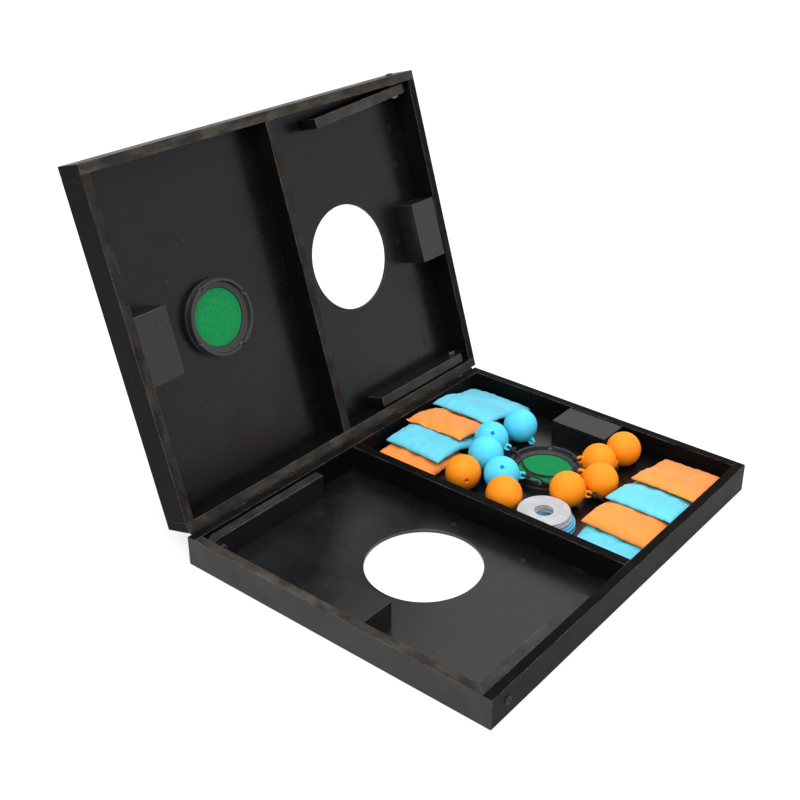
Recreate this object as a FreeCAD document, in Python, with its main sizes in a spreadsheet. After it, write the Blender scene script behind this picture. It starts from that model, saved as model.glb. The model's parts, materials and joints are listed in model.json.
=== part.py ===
import FreeCAD, Part
import math
import os

import Sketcher
from FreeCAD import Placement, Rotation, Vector

# A folding two-tray game case: two identical shallow trays hinged along one long edge. Each tray has a
# round bag hole through its panel, a felt-lined washer cup, a divider and two folding legs. The right half
# of the base stores bean bags, corded balls and washers.
# Millimetres. X runs along the hinge, the hinge is on the +Y side, and the base lies on Z = 0.

doc = FreeCAD.newDocument("GameCase")

DIMENSIONS = [
    ("case_width", 600, "tray size along the hinge"),
    ("case_length", 470, "tray size across the hinge"),
    ("tray_height", 41, "depth of one tray, panel included"),
    ("wall_thickness", 13, "frame boards"),
    ("panel_thickness", 5, "game panel, set between the frame boards"),
    ("divider_thickness", 14, "board between the two compartments"),
    ("edge_break", 0.5, "small bevel on every board"),
    ("bag_hole_radius", 76.2, "six inch bag hole"),
    ("bag_hole_offset", 121, "bag hole centre, from the tray's middle"),
    ("block_length", 90, "end block along the short wall"),
    ("block_depth", 50, "end block, out from the short wall"),
    ("block_drop", 1.5, "top of an end block below the rim"),
    ("base_cup_offset", 158, "cup centre in the base, from the tray's middle"),
    ("lid_cup_offset", 142, "cup centre in the lid, from the tray's middle"),
    ("cup_set_back", 3, "cup centre towards the hinge"),
    ("cup_flange_radius", 51.5, "foot of the cup"),
    ("cup_neck_radius", 49.6, "groove under the cup's lip"),
    ("cup_lip_radius", 51, "outside of the cup's lip"),
    ("cup_mouth_radius", 47.4, "inside of the cup's lip"),
    ("cup_ledge_radius", 46.4, "outer edge of the ledge round the felt"),
    ("felt_radius", 38.6, "felt disc"),
    ("felt_thickness", 1.6, "felt disc"),
    ("cup_height", 14, "cup above the panel"),
    ("cup_flange_height", 3, "foot of the cup"),
    ("cup_neck_height", 7.5, "top of the groove under the lip"),
    ("cup_ledge_height", 7.5, "outer edge of the ledge"),
    ("cup_ledge_low", 6.3, "inner edge of the ledge"),
    ("cup_floor", 3.2, "plastic under the felt"),
    ("cup_notch_width", 5, "notches in the lip"),
    ("cup_notch_depth", 2.6, "notches in the lip"),
    ("leg_length", 186, "pivot to free end"),
    ("leg_half_width", 16, "also the radius of the pivot end"),
    ("leg_thickness", 14, "folding legs"),
    ("leg_floor_gap", 0.6, "folded leg above the panel"),
    ("leg_wall_gap", 2.2, "leg to wall, where the spacer sits"),
    ("pivot_from_end", 29.5, "leg pivot from the end of the case"),
    ("leg_sag", 4, "how far the lid's outer leg leans from its wall, degrees"),
    ("bolt_radius", 3, "leg pivot bolts"),
    ("leg_bore_radius", 3.06, "running fit on the bolt"),
    ("wall_bore_radius", 3.9, "loose hole for the bolt in the wall"),
    ("bolt_head_radius", 5.5, "domed bolt head"),
    ("bolt_head_height", 2, "domed bolt head"),
    ("bolt_socket_radius", 1.7, "drive recess in the bolt head"),
    ("spacer_radius", 6.5, "washer between leg and wall"),
    ("spacer_thickness", 1.2, "washer between leg and wall"),
    ("nut_radius", 5.2, "across the corners"),
    ("nut_thickness", 4, "lock nuts"),
    ("leaf_width", 585, "one long hinge leaf along the case"),
    ("leaf_height", 11, "hinge leaf on the back wall"),
    ("leaf_thickness", 0.8, "hinge leaf"),
    ("leaf_top_gap", 1.2, "leaf below the pin axis"),
    ("knuckle_radius", 1.2, "hinge barrel"),
    ("knuckle_bore_radius", 0.65, "running fit on the pin"),
    ("pin_radius", 0.6, "hinge pin"),
    ("pin_head_radius", 1.1, "peened ends of the pin"),
    ("pin_head_length", 0.8, "peened ends of the pin"),
    ("knuckle_gap", 0.3, "between knuckles"),
    ("barrel_gap", 0.1, "hinge barrel to the back wall"),
    ("rim_gap", 0.5, "between the two rims when shut"),
    ("hinge_screw_radius", 1.25, "wood screws"),
    ("hinge_screw_length", 9, "wood screws"),
    ("hinge_screw_head", 2.2, "countersunk screw head radius"),
    ("hinge_screw_pitch", 78, "from screw to screw along a leaf"),
    ("open_angle", 106.3, "lid, from shut"),
    ("lid_side_shift", 4.5, "lid along the hinge, as fitted"),
    ("ball_radius", 25, "soft rubber balls"),
    ("tab_reach", 9, "cord tab beyond the ball"),
    ("tab_half_width", 5.2, "cord tab"),
    ("tab_thickness", 4, "cord tab"),
    ("tab_hole_radius", 2.3, "cord tab"),
    ("vent_radius", 3, "moulding hole"),
    ("vent_depth", 9, "moulding hole"),
    ("game_washer_radius", 35.5, "tossing washers"),
    ("game_washer_hole", 12.8, "tossing washers"),
    ("game_washer_thickness", 3.05, "tossing washers"),
    ("cord_diameter", 3.2, "braided cord between two balls"),
    ("bag_width", 102, "bean bag along the hinge"),
    ("bag_length", 95, "bean bag across the hinge"),
    ("bag_half_height", 7, "bean bag, middle to top"),
    ("bag_crown_inset", 11, "top of the bean bag in from its seam"),
]

sheet = doc.addObject("Spreadsheet::Sheet", "Sizes")
for row, (alias, value, meaning) in enumerate(DIMENSIONS, 1):
    sheet.set(f"A{row}", meaning)
    sheet.set(f"B{row}", str(value))
    sheet.setAlias(f"B{row}", alias)
doc.recompute()

nodes = []


def dim(alias):
    return float(sheet.get(alias))


def bind(thing, **sizes):
    """Bind properties of a document object to expressions on the sheet."""
    for name, expression in sizes.items():
        thing.setExpression(name, cells(expression))


def cells(expression):
    """Write plain aliases as references to the sheet."""
    words = expression.replace("(", " ( ").replace(")", " ) ").split()
    known = {alias for alias, _, _ in DIMENSIONS}
    return " ".join("Sizes." + word if word in known else word for word in words)


def node(thing, label, placement=None):
    """Name a finished piece, put it in its place and list it for export."""
    thing.Label = label
    if placement is not None:
        thing.Placement = placement
    nodes.append(thing)
    return thing


def at(x, y, z, rotation=None):
    return Placement(Vector(x, y, z), rotation or Rotation())


# ---- PartDesign helpers ----------------------------------------------------------------------------


def new_body(name):
    return doc.addObject("PartDesign::Body", name)


def sketch_on(body, role, name):
    """A sketch on one of the body's own origin planes."""
    sketch = body.newObject("Sketcher::SketchObject", name)
    plane = next(f for f in body.Origin.OriginFeatures if f.Role == role)
    sketch.AttachmentSupport = [(plane, "")]
    sketch.MapMode = "FlatFace"
    return sketch


def constrain(sketch, kind, *where, size=None):
    """Add a constraint and bind its value to the sheet."""
    if size is None:
        return sketch.addConstraint(Sketcher.Constraint(kind, *where))
    value = float(sheet.evalExpression(cells(size)))
    number = sketch.addConstraint(Sketcher.Constraint(kind, *where, value))
    sketch.setExpression(f"Constraints[{number}]", cells(size))
    return number


def outline(sketch, points):
    """A closed outline of straight sides, each point fixed by a pair of expressions (None is zero)."""
    values = [[0 if e is None else sheet.evalExpression(cells(e)) for e in point] for point in points]
    corners = [Vector(float(x), float(y), 0) for x, y in values]
    for first, second in zip(corners, corners[1:] + corners[:1]):
        sketch.addGeometry(Part.LineSegment(first, second))
    for side in range(len(points)):
        constrain(sketch, "Coincident", side, 2, (side + 1) % len(points), 1)
    for side, (across, up) in enumerate(points):
        for kind, axis, size in (("DistanceX", -2, across), ("DistanceY", -1, up)):
            if size is None:
                constrain(sketch, "PointOnObject", side, 1, axis)
            else:
                constrain(sketch, kind, -1, 1, side, 1, size=size)


def circle(sketch, across, up, radius):
    """A circle whose centre and radius are expressions (None is zero)."""
    values = [0 if e is None else float(sheet.evalExpression(cells(e))) for e in (across, up, radius)]
    shape = Part.Circle(Vector(values[0], values[1], 0), Vector(0, 0, 1), values[2])
    number = sketch.addGeometry(shape)
    for kind, axis, size in (("DistanceX", -2, across), ("DistanceY", -1, up)):
        if size is None:
            constrain(sketch, "PointOnObject", number, 3, axis)
        else:
            constrain(sketch, kind, -1, 1, number, 3, size=size)
    constrain(sketch, "Radius", number, size=radius)


def pad(body, sketch, length, middle=False):
    feature = body.newObject("PartDesign::Pad", "Pad")
    feature.Profile = sketch
    feature.Midplane = middle
    bind(feature, Length=length)
    return feature


def drill(body, sketch, length=None):
    """Cut a sketch both ways, right through or by a length in all, and check that it removed something."""
    doc.recompute()
    before = body.Shape.Volume
    feature = body.newObject("PartDesign::Pocket", "Pocket")
    feature.Profile = sketch
    feature.Midplane = True
    if length:
        bind(feature, Length=length)
    else:
        feature.Type = "ThroughAll"
    doc.recompute()
    if body.Shape.Volume >= before:
        raise RuntimeError(f"{body.Label}: a pocket cuts nothing")
    return feature


def bevel_all(body):
    doc.recompute()
    last = body.Tip
    feature = body.newObject("PartDesign::Chamfer", "Bevel")
    feature.Base = (last, ["Edge1"])
    feature.UseAllEdges = True
    bind(feature, Size="edge_break")


def board(name, length, width, thickness, holes=(), side_holes=(), pilots=()):
    """A bevelled board with its corner at the origin. holes go down through it, side_holes across it.

    pilots are blind holes for the hinge screws, in its far side.
    """
    body = new_body(name)
    plan = sketch_on(body, "XY_Plane", "Plan")
    outline(plan, [(None, None), (length, None), (length, width), (None, width)])
    pad(body, plan, thickness)
    for role, circles in (("XY_Plane", holes), ("XZ_Plane", side_holes)):
        if circles:
            sketch = sketch_on(body, role, "Holes")
            for across, up, radius in circles:
                circle(sketch, across, up, radius)
            drill(body, sketch)
    if pilots:
        sketch = sketch_on(body, "XZ_Plane", "Pilots")
        sketch.AttachmentOffset = at(0, 0, -float(sheet.evalExpression(cells(width))))
        for across, up, radius in pilots:
            circle(sketch, across, up, radius)
        drill(body, sketch, "2 * hinge_screw_length + 1")
    bevel_all(body)
    return body


# ---- Fasteners, each built on its own axis, which is local Z ------------------------------------------


def turned(name, section):
    """A body turned about local Z from a half section of radius and height expressions."""
    body = new_body(name)
    sketch = sketch_on(body, "XZ_Plane", "Section")
    outline(sketch, section)
    feature = body.newObject("PartDesign::Revolution", "Turned")
    feature.Profile = sketch
    feature.ReferenceAxis = (sketch, ["V_Axis"])
    feature.Angle = 360
    return body


def pivot_bolt(name):
    """Head below Z = 0, shank through the wall, spacer, leg and nut."""
    shank = "( wall_thickness + leg_wall_gap + leg_thickness + leg_wall_gap * 0.2 + nut_thickness )"
    return turned(name, [
        (None, "bolt_head_height * -0.45"), ("bolt_socket_radius", "bolt_head_height * -0.45"),
        ("bolt_socket_radius", "bolt_head_height * -1"), ("bolt_head_radius * 0.55", "bolt_head_height * -1"),
        ("bolt_head_radius * 0.9", "bolt_head_height * -0.6"), ("bolt_head_radius", "bolt_head_height * -0.01"),
        ("bolt_head_radius", "0.001"), ("bolt_radius", "0.001"), ("bolt_radius", shank), (None, shank),
    ])


def ring(name, outer, inner, thickness, sides=0):
    """A washer, or a nut when it has sides: a prism with a bore, standing on Z = 0."""
    if sides:
        solid = doc.addObject("Part::Prism", name + "_blank")
        solid.Polygon = sides
        bind(solid, Circumradius=outer, Height=thickness)
    else:
        solid = doc.addObject("Part::Cylinder", name + "_blank")
        bind(solid, Radius=outer, Height=thickness)
    bore = doc.addObject("Part::Cylinder", name + "_bore")
    bind(bore, Radius=inner, Height=thickness)
    cut = doc.addObject("Part::Cut", name)
    cut.Base = solid
    cut.Tool = bore
    return cut


def group(label, pieces, placement):
    """Identical fasteners as one node of separate solids."""
    compound = doc.addObject("Part::Compound", label)
    compound.Links = pieces
    return node(compound, label, placement)


# ---- The two trays ------------------------------------------------------------------------------------

half_width = dim("case_width") / 2
half_length = dim("case_length") / 2
wall = dim("wall_thickness")
inner_length = "( case_length - 2 * wall_thickness )"
pin_axis = Vector(0, half_length + dim("barrel_gap") + dim("knuckle_radius"),
                  dim("tray_height") + dim("rim_gap") / 2)
pivot_height = dim("panel_thickness") + dim("leg_floor_gap") + dim("leg_half_width")
pivot_x = dim("pivot_from_end") - half_width
wall_to_leg = dim("leg_wall_gap") + dim("leg_thickness") / 2
pivot_y = half_length - wall - wall_to_leg
SCREW_STEPS = [step - 3.5 for step in range(8)]
bolt_drift = math.tan(math.radians(dim("leg_sag"))) * (wall_to_leg + wall / 2)

# The lid is the same tray turned over about Y onto the base, moved along the hinge, then opened.
shut = at(dim("lid_side_shift"), 0, 2 * pin_axis.z, Rotation(Vector(0, 1, 0), 180))
opening = Placement(Vector(), Rotation(Vector(1, 0, 0), -dim("open_angle")), pin_axis)
TRAYS = {"base": Placement(), "lid": opening.multiply(shut)}


def frame_and_panel(tray, place):
    """Four boards, the panel with its bag hole, the divider and two end blocks."""
    inner_width = "( case_width - 2 * wall_thickness )"
    pivot_up = "panel_thickness + leg_floor_gap + leg_half_width"
    drift = bolt_drift if tray == "lid" else 0
    front = board(f"{tray}_front_wall", "case_width", "wall_thickness", "tray_height",
                  side_holes=[(f"pivot_from_end + {drift:.4f}", pivot_up, "wall_bore_radius")])
    node(front, f"{tray}_front_wall", place.multiply(at(-half_width, -half_length, 0)))

    screw_up = "tray_height + rim_gap / 2 - leaf_top_gap - leaf_height / 2"
    shift = "lid_side_shift" if tray == "lid" else "0"
    pilots = [(f"case_width / 2 + {step} * hinge_screw_pitch + {shift}", screw_up,
               "hinge_screw_radius + 0.02") for step in SCREW_STEPS]
    back = board(f"{tray}_hinge_wall", "case_width", "wall_thickness", "tray_height",
                 side_holes=[("pivot_from_end", pivot_up, "wall_bore_radius")], pilots=pilots)
    node(back, f"{tray}_hinge_wall", place.multiply(at(-half_width, half_length - wall, 0)))

    for end, x in (("hole_end", -half_width), ("cup_end", half_width - wall)):
        short_wall = board(f"{tray}_{end}_wall", "wall_thickness", inner_length, "tray_height")
        node(short_wall, f"{tray}_{end}_wall", place.multiply(at(x, wall - half_length, 0)))

    divider = board(f"{tray}_divider", "divider_thickness", inner_length,
                    "tray_height - panel_thickness")
    corner = at(-dim("divider_thickness") / 2, wall - half_length, dim("panel_thickness"))
    node(divider, f"{tray}_divider", place.multiply(corner))

    panel = board(f"{tray}_panel", inner_width, inner_length, "panel_thickness",
                  holes=[(f"{inner_width} / 2 - bag_hole_offset", f"{inner_length} / 2",
                          "bag_hole_radius")])
    node(panel, f"{tray}_panel", place.multiply(at(wall - half_width, wall - half_length, 0)))

    for end, x in (("hole_end", wall - half_width), ("cup_end", half_width - wall - dim("block_depth"))):
        block = board(f"{tray}_{end}_block", "block_depth", "block_length",
                      "tray_height - panel_thickness - block_drop")
        corner = at(x, -dim("block_length") / 2, dim("panel_thickness"))
        node(block, f"{tray}_{end}_block", place.multiply(corner))


def washer_cup(tray, place):
    """A turned plastic cup with a stepped outside, a ledge inside and a felt disc on its floor."""
    offset = dim(f"{tray}_cup_offset")
    seat = place.multiply(at(offset, dim("cup_set_back"), dim("panel_thickness")))
    cup = turned(f"{tray}_cup", [
        (None, None), ("cup_flange_radius", None), ("cup_flange_radius", "cup_flange_height"),
        ("cup_neck_radius", "cup_flange_height"), ("cup_neck_radius", "cup_neck_height"),
        ("cup_lip_radius", "cup_neck_height"), ("cup_lip_radius", "cup_height"),
        ("cup_mouth_radius", "cup_height"), ("cup_ledge_radius", "cup_ledge_height"),
        ("felt_radius + 0.4", "cup_ledge_low"), ("felt_radius + 0.4", "cup_floor"), (None, "cup_floor"),
    ])
    doc.recompute()
    whole = cup.Shape.Volume
    notch = sketch_on(cup, "XY_Plane", "Notch")
    notch.AttachmentOffset = at(0, 0, dim("cup_height"))
    outline(notch, [("cup_ledge_radius", "cup_notch_width * -0.5"),
                    ("cup_lip_radius + 1", "cup_notch_width * -0.5"),
                    ("cup_lip_radius + 1", "cup_notch_width * 0.5"),
                    ("cup_ledge_radius", "cup_notch_width * 0.5")])
    pocket = cup.newObject("PartDesign::Pocket", "NotchCut")
    pocket.Profile = notch
    bind(pocket, Length="cup_notch_depth")
    spread = cup.newObject("PartDesign::PolarPattern", "Notches")
    spread.Originals = [pocket]
    spread.Axis = (notch, ["N_Axis"])
    spread.Occurrences = 4
    cup.Tip = spread
    doc.recompute()
    if cup.Shape.Volume >= whole:
        raise RuntimeError("the cup's notches cut nothing")
    turn = Placement(Vector(), Rotation(Vector(0, 0, 1), 25))
    node(cup, f"{tray}_cup", seat.multiply(turn))

    felt = new_body(f"{tray}_felt")
    disc = sketch_on(felt, "XY_Plane", "Disc")
    circle(disc, None, None, "felt_radius")
    pad(felt, disc, "felt_thickness")
    node(felt, f"{tray}_felt", seat.multiply(at(0, 0, dim("cup_floor"))))


def leg(name):
    """A flat bar with a round pivot end at the origin and a square free end on +X."""
    body = new_body(name)
    profile = sketch_on(body, "XZ_Plane", "Profile")
    length, half = dim("leg_length"), dim("leg_half_width")
    corners = [Vector(0, half, 0), Vector(length, half, 0), Vector(length, -half, 0), Vector(0, -half, 0)]
    for first, second in zip(corners, corners[1:]):
        profile.addGeometry(Part.LineSegment(first, second))
    profile.addGeometry(Part.ArcOfCircle(Part.Circle(Vector(), Vector(0, 0, 1), half),
                                         math.pi / 2, 3 * math.pi / 2))
    for side in range(2):
        constrain(profile, "Coincident", side, 2, side + 1, 1)
    constrain(profile, "Coincident", 0, 1, 3, 1)
    constrain(profile, "Coincident", 2, 2, 3, 2)
    constrain(profile, "Coincident", 3, 3, -1, 1)
    constrain(profile, "PointOnObject", 0, 1, -2)
    constrain(profile, "PointOnObject", 2, 2, -2)
    constrain(profile, "Horizontal", 0)
    constrain(profile, "Vertical", 1)
    constrain(profile, "Horizontal", 2)
    constrain(profile, "Radius", 3, size="leg_half_width")
    constrain(profile, "DistanceX", -1, 1, 1, 1, size="leg_length")
    pad(body, profile, "leg_thickness", middle=True)
    bore = sketch_on(body, "XZ_Plane", "Bore")
    circle(bore, None, None, "leg_bore_radius")
    drill(body, bore)
    bevel_all(body)
    return body


def leg_sets(tray, place):
    """Both folding legs of a tray with their bolts, spacers and nuts."""
    bolts, spacers, nuts = [], [], []
    outer_name = "front" if tray == "base" else "outer"
    for name, side in ((outer_name, -1), ("hinge", 1)):
        sag = dim("leg_sag") if name == "outer" else 0
        pivot = at(pivot_x, side * pivot_y, pivot_height, Rotation(Vector(0, 0, 1), sag))
        node(leg(f"{tray}_{name}_leg"), f"{tray}_{name}_leg", place.multiply(pivot))

        # Distances out from the leg's middle, towards its wall; a leaning bolt's head stands off a little.
        face = dim("leg_thickness") / 2
        outward = Rotation(Vector(0, 0, 1), Vector(0, side, 0))
        inward = Rotation(Vector(0, 0, 1), Vector(0, -side, 0))
        stand_off = 1.1 * dim("bolt_head_radius") * math.sin(math.radians(sag))
        head = wall_to_leg + wall + 0.02 + stand_off
        spacer_start = face + (dim("leg_wall_gap") - dim("spacer_thickness")) / 2
        nut_start = face + 0.2 * dim("leg_wall_gap")

        bolt = pivot_bolt(f"{tray}_{name}_bolt")
        bolt.Placement = pivot.multiply(at(0, side * head, 0, inward))
        spacer = ring(f"{tray}_{name}_spacer", "spacer_radius", "bolt_radius + 0.05", "spacer_thickness")
        spacer.Placement = pivot.multiply(at(0, side * spacer_start, 0, outward))
        nut = ring(f"{tray}_{name}_nut", "nut_radius", "bolt_radius + 0.02", "nut_thickness", sides=6)
        nut.Placement = pivot.multiply(at(0, -side * nut_start, 0, inward))
        bolts.append(bolt)
        spacers.append(spacer)
        nuts.append(nut)
    group(f"{tray}_leg_bolts", bolts, place)
    group(f"{tray}_leg_spacers", spacers, place)
    group(f"{tray}_leg_nuts", nuts, place)


for tray, place in TRAYS.items():
    frame_and_panel(tray, place)
    washer_cup(tray, place)
    leg_sets(tray, place)


# ---- Hinge --------------------------------------------------------------------------------------------


def plate(name, length, width, height, x, y, z):
    box = doc.addObject("Part::Box", name)
    bind(box, Length=length, Width=width, Height=height)
    box.Placement = at(x, y, z)
    return box


def barrel(name, radius, length, x):
    """A cylinder on the pin axis, starting at x."""
    rod = doc.addObject("Part::Cylinder", name)
    bind(rod, Radius=radius, Height=length)
    rod.Placement = Placement(Vector(x, pin_axis.y, pin_axis.z), Rotation(Vector(0, 1, 0), 90))
    return rod


def hinge_leaf(name, x, knuckles):
    """A leaf on the back wall below the pin, with its share of the knuckles, bored for the pin."""
    leaf_x = x - dim("leaf_width") / 2
    leaf_top = pin_axis.z - dim("leaf_top_gap")
    parts = [plate(f"{name}_plate", "leaf_width", "leaf_thickness", "leaf_height",
                   leaf_x, half_length, leaf_top - dim("leaf_height"))]
    share = dim("leaf_width") / KNUCKLES
    for number in knuckles:
        length = f"( leaf_width / {KNUCKLES} - knuckle_gap )"
        start_x = leaf_x + share * number + dim("knuckle_gap") / 2
        parts.append(barrel(f"{name}_knuckle_{number}", "knuckle_radius", length, start_x))
        parts.append(plate(f"{name}_web_{number}", length, "leaf_thickness", "leaf_top_gap + 0.5",
                           start_x, half_length + dim("barrel_gap") * 0.5, leaf_top - 0.5))
    solid = doc.addObject("Part::MultiFuse", f"{name}_solid")
    solid.Shapes = parts
    holes = [barrel(f"{name}_bore", "knuckle_bore_radius", "leaf_width + 2", leaf_x - 1)]
    for step in SCREW_STEPS:
        hole = doc.addObject("Part::Cone", f"{name}_hole")
        bind(hole, Radius1="hinge_screw_radius + 0.1", Radius2="hinge_screw_head + 0.1",
             Height="leaf_thickness")
        hole.Placement = at(x + step * dim("hinge_screw_pitch"), half_length,
                            leaf_top - dim("leaf_height") / 2, Rotation(Vector(1, 0, 0), -90))
        holes.append(hole)
    tools = doc.addObject("Part::MultiFuse", f"{name}_tools")
    tools.Shapes = holes
    leaf = doc.addObject("Part::Cut", name)
    leaf.Base = solid
    leaf.Tool = tools
    return leaf


def wood_screw(name):
    """A countersunk head above Z = 0, as thick as the leaf, and a plain shank below it."""
    return turned(name, [
        (None, "hinge_screw_length * -1"), ("hinge_screw_radius", "hinge_screw_length * -1 + 2"),
        ("hinge_screw_radius", "leaf_thickness * 0.01"), ("hinge_screw_head", "leaf_thickness"),
        (None, "leaf_thickness"),
    ])


# In the lid's own tray frame the hinge keeps the same shape, but the lid's side shift has to be taken off.
KNUCKLES = 25
for tray, place in TRAYS.items():
    shift = dim("lid_side_shift") if tray == "lid" else 0
    leaf = hinge_leaf(f"{tray}_leaf", shift, range(tray == "lid", KNUCKLES, 2))
    node(leaf, f"{tray}_hinge_leaf", place)
    screws = []
    for step in SCREW_STEPS:
        screw = wood_screw(f"{tray}_screw")
        screw.Placement = at(shift + step * dim("hinge_screw_pitch"), half_length,
                             pin_axis.z - dim("leaf_top_gap") - dim("leaf_height") / 2,
                             Rotation(Vector(0, 0, 1), Vector(0, 1, 0)))
        screws.append(screw)
    group(f"{tray}_hinge_screws", screws, place)

pin_start = -dim("leaf_width") / 2
pin = doc.addObject("Part::MultiFuse", "Pin")
pin.Shapes = [barrel("Pin_head", "pin_head_radius", "pin_head_length", pin_start - dim("pin_head_length")),
              barrel("Pin_rod", "pin_radius", "leaf_width", pin_start),
              barrel("Pin_head", "pin_head_radius", "pin_head_length", -pin_start)]
node(pin, "hinge_pin")


# ---- Stored balls, cords, washers and bean bags -----------------------------------------------------------

# Centre, direction of the cord tab, the way the tab's flat face looks, and where the moulding hole is.
FLOOR = dim("panel_thickness")
RESTING = FLOOR + dim("ball_radius")
BALLS = {
    "blue_ball_1": ((208, 82, RESTING), (-0.05, -0.76, -0.62), (1, 0.2, 0), (0.3, 0.9, 0.2)),
    "blue_ball_2": ((150, 93, RESTING), (0.1, -0.97, -0.2), (-0.6, -0.2, 0.8), (-0.5, -0.43, 0.75)),
    "blue_ball_3": ((105, 70, RESTING + 4.5), (0.5, 0.4, -0.75), (1, 0, 0), (0.3, 0.8, 0.45)),
    "blue_ball_4": ((81, 25, RESTING), (0.66, -0.73, -0.1), (-0.7, -0.5, 0.5), (-0.47, -0.34, 0.82)),
    "orange_ball_1": ((51, 69, RESTING), (0.66, 0.6, -0.4), (0, 0, 1), (-0.66, -0.75, 0.06)),
    "orange_ball_2": ((41.5, -7, RESTING), (-0.4, 0.65, -0.6), (1, 0, 0), (0.5, -0.6, -0.5)),
    "orange_ball_3": ((246, -72, RESTING), (-0.88, -0.17, -0.42), (0, 1, 0), (0.8, 0.5, 0.1)),
    "orange_ball_4": ((195.5, -61.5, RESTING), (-0.75, 0.62, 0.2), (-0.7, -0.6, 0.3), (0.7, 0.5, -0.4)),
    "orange_ball_5": ((153, -90, RESTING), (-0.33, 0.9, 0.27), (0.8, 0.4, 0), (0.4, -0.8, -0.4)),
    "orange_ball_6": ((106, -67, RESTING), (0.45, -0.88, -0.15), (-0.7, -0.4, 0.6), (-0.2, 0.8, -0.5)),
}


def ball(label, centre, towards, facing, vent_way):
    """A ball with a flat eyed tab on local +X, a cord hole along local Y and a moulding hole."""
    turn = Rotation(Vector(*towards), Vector(*facing), Vector(), "XYZ")
    sphere = doc.addObject("Part::Sphere", label + "_sphere")
    bind(sphere, Radius="ball_radius")
    reach = "( ball_radius + tab_reach - tab_half_width )"
    neck = doc.addObject("Part::Box", label + "_neck")
    bind(neck, Length="tab_reach", Width="tab_thickness", Height="2 * tab_half_width")
    eye_x = dim("ball_radius") + dim("tab_reach") - dim("tab_half_width")
    neck.Placement = at(eye_x - dim("tab_reach"), -dim("tab_thickness") / 2, -dim("tab_half_width"))
    across = Rotation(Vector(1, 0, 0), -90)
    eye = doc.addObject("Part::Cylinder", label + "_eye")
    bind(eye, Radius="tab_half_width", Height="tab_thickness")
    eye.Placement = at(eye_x, -dim("tab_thickness") / 2, 0, across)
    solid = doc.addObject("Part::MultiFuse", label + "_solid")
    solid.Shapes = [sphere, neck, eye]
    hole = doc.addObject("Part::Cylinder", label + "_hole")
    bind(hole, Radius="tab_hole_radius", Height="tab_thickness + 2")
    hole.Placement = at(eye_x, -dim("tab_thickness") / 2 - 1, 0, across)
    vent = doc.addObject("Part::Cylinder", label + "_vent")
    bind(vent, Radius="vent_radius", Height="vent_depth + 1")
    outward = turn.inverted().multVec(Vector(*vent_way)).normalize()
    vent.Placement = Placement(outward * (dim("ball_radius") + 1), Rotation(Vector(0, 0, -1), outward))
    tools = doc.addObject("Part::MultiFuse", label + "_tools")
    tools.Shapes = [hole, vent]
    cut = doc.addObject("Part::Cut", label)
    cut.Base = solid
    cut.Tool = tools
    return node(cut, label, Placement(Vector(*centre), turn))


for label, (centre, towards, facing, vent_way) in BALLS.items():
    ball(label, centre, towards, facing, vent_way)


def tab_tip(label):
    """The end of a ball's cord tab and the way it points."""
    centre, towards = BALLS[label][:2]
    way = Vector(*towards).normalize()
    return Vector(*centre) + way * (dim("ball_radius") + dim("tab_reach")), way


CORD_GAP = 0.1
CORD_LEAD = 9


def cord_path(points):
    """Straight runs joined by tangent arcs, each as large as its two shorter runs allow."""
    edges, start, radii = [], points[0], []
    for before, corner, after in zip(points, points[1:], points[2:]):
        back, ahead = before - corner, after - corner
        turn = math.pi - back.getAngle(ahead)
        shorter = min(back.Length, ahead.Length)
        cut = 0.45 * shorter
        radii.append(cut / math.tan(turn / 2))
        first = corner + back.normalize() * cut
        last = corner + ahead.normalize() * cut
        bisector = (back + ahead).normalize()
        middle = corner + bisector * (radii[-1] / math.cos(turn / 2) - radii[-1])
        edges.append(Part.LineSegment(start, first).toShape())
        edges.append(Part.Arc(first, middle, last).toShape())
        start = last
    edges.append(Part.LineSegment(start, points[-1]).toShape())
    return Part.Wire(edges), radii


def cord(label, first_ball, middle_points, last_ball):
    """A round cord from the tab of one ball to the tab of another."""
    radius = dim("cord_diameter") / 2
    start, start_way = tab_tip(first_ball)
    end, end_way = tab_tip(last_ball)
    points = [start + start_way * CORD_GAP, start + start_way * CORD_LEAD]
    points += [Vector(*p) for p in middle_points]
    points += [end + end_way * CORD_LEAD, end + end_way * CORD_GAP]
    path, radii = cord_path(points)
    section = Part.Wire(Part.Circle(points[0], start_way, radius).toShape())
    tube = path.makePipeShell([section], True, False)
    expected = math.pi * radius ** 2 * path.Length
    print(f"{label}: length {path.Length:.1f} mm, volume ratio {tube.Volume / expected:.4f},"
          f" radii {[round(r, 1) for r in radii]}")
    feature = doc.addObject("Part::Feature", label)
    feature.Shape = tube
    return node(feature, label, Placement())


# The blue cord crosses the base's cup and turns back beside the nearest orange ball.
cord("blue_ball_cord", "blue_ball_2", [
    (150.5, 41.5, 18), (143.5, 32.5, 13.8), (137, 21.5, 12), (134, 10, 11.8), (135.5, -2, 11.9),
    (138.5, -13.5, 13), (139, -25, 17), (137.5, -35, 21.5), (130.5, -43.5, 22.8), (120, -44.5, 22.8),
    (112.5, -37, 21.8), (112, -26, 20.8), (114.5, -16, 22.3),
], "blue_ball_4")
# The orange cord drops to the floor and runs in front of the ball between its two ends.
cord("orange_ball_cord", "orange_ball_6", [
    (130.2, -109.2, 16.6), (136, -109.8, 10.4), (144.5, -109, 7.2), (155, -108.2, 6.8),
    (166, -105.6, 6.8), (176.5, -99.8, 6.9), (186.3, -92.6, 6.8), (196.4, -86, 7.4),
], "orange_ball_3")


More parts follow.
